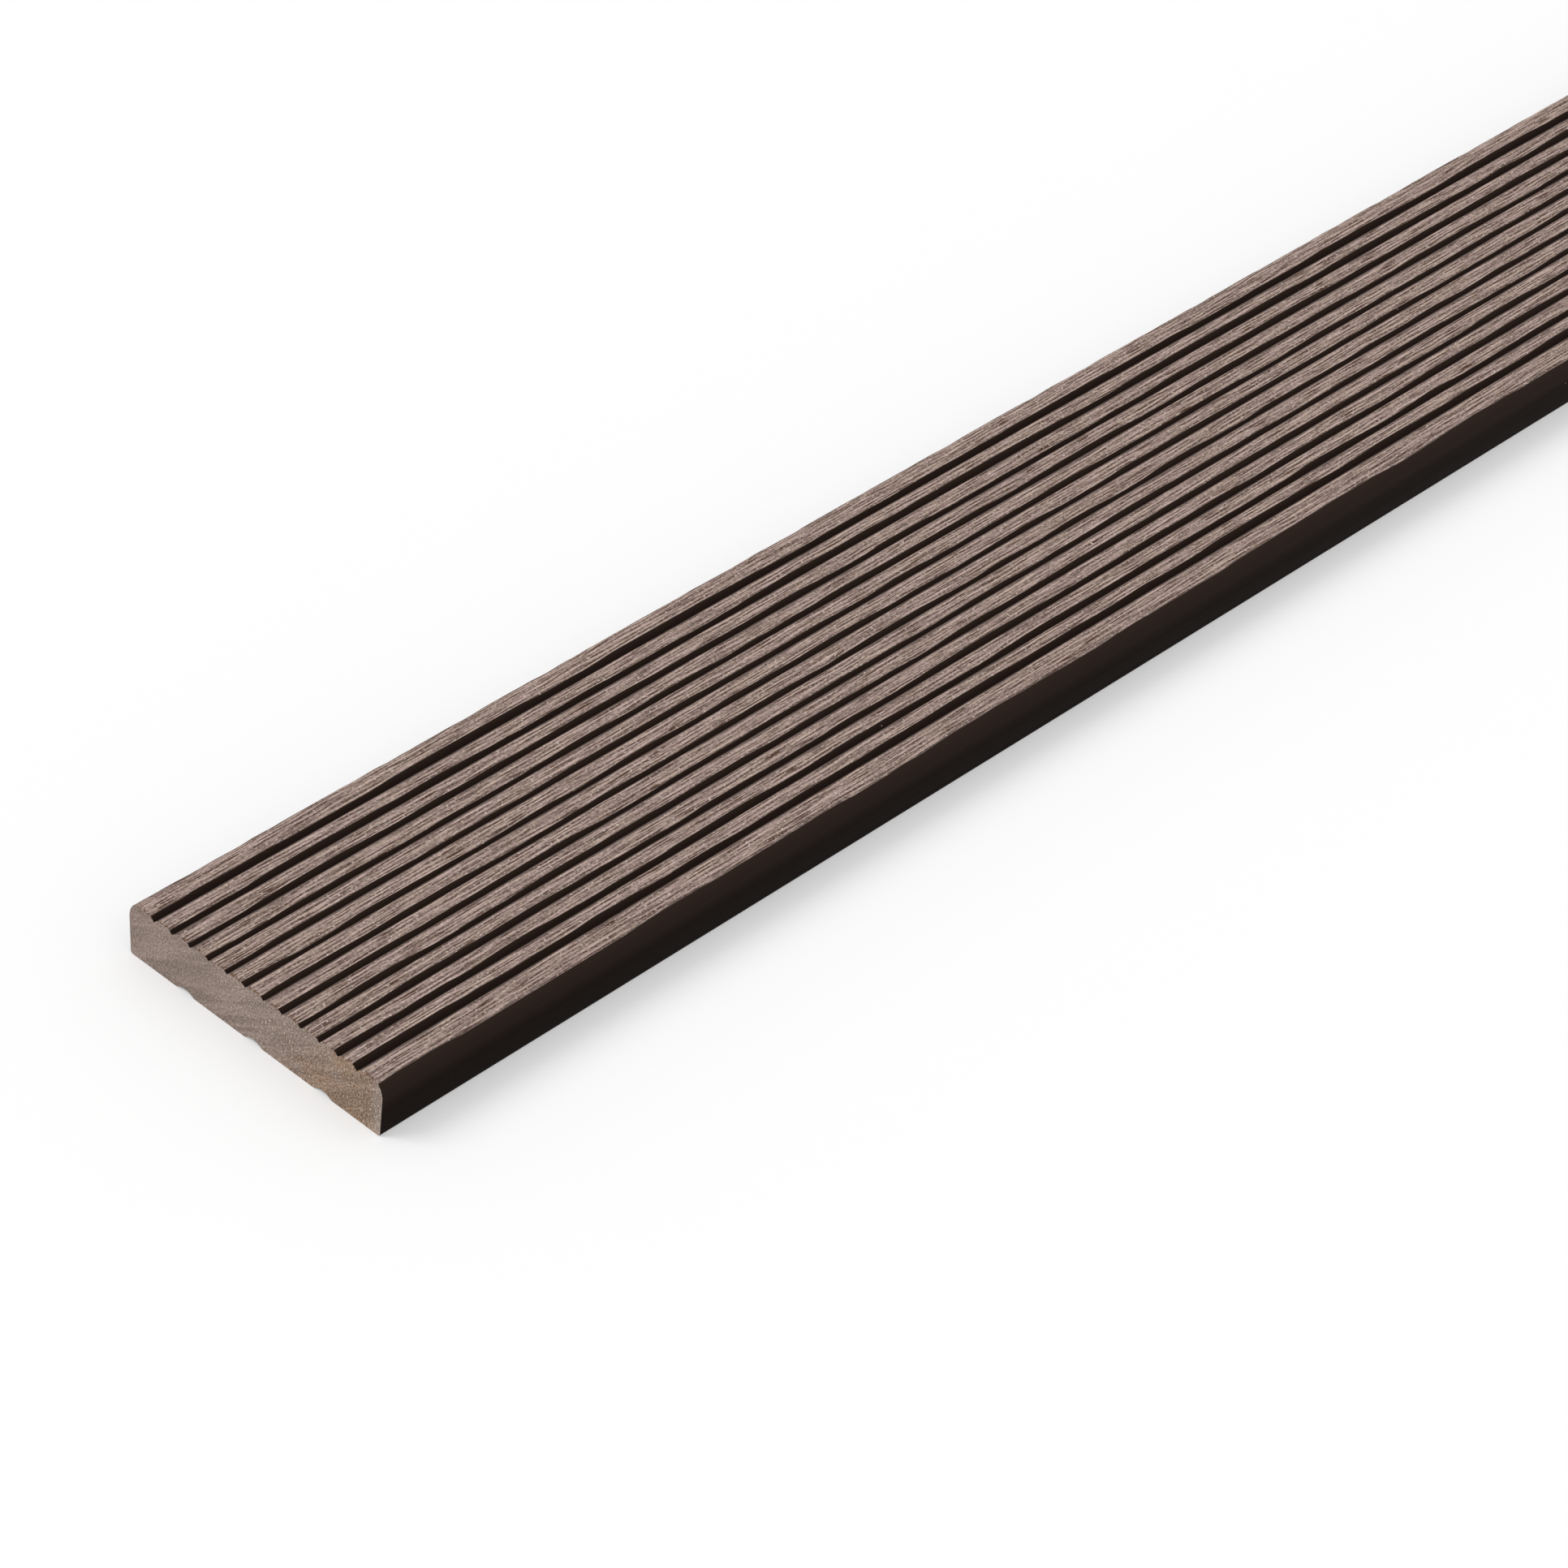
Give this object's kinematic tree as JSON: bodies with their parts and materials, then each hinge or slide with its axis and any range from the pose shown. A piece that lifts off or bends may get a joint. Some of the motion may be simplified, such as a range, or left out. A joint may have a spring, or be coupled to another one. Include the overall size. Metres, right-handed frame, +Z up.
{
  "type": "composite cover strip",
  "caption": "Solid wood-plastic composite cover strip with a grooved, sanded face, smooth dark sides and sawn ends, for trimming the open edge of a deck or wall.",
  "frame": {"origin": "middle of the back face at half the length, on the surface the strip lies on", "axes": "+X along the strip, +Y across its width, +Z up through its thickness, out of the grooved face"},
  "size_m": [2, 0.066, 0.012],
  "materials": {
    "composite": "dark brown wood-plastic composite: face sanded to grey-brown, grooves, sides and back in smooth extrusion skin, ends sawn"
  },
  "bodies": {
    "root": {"cover_strip": "composite"}
  },
  "joints": []
}
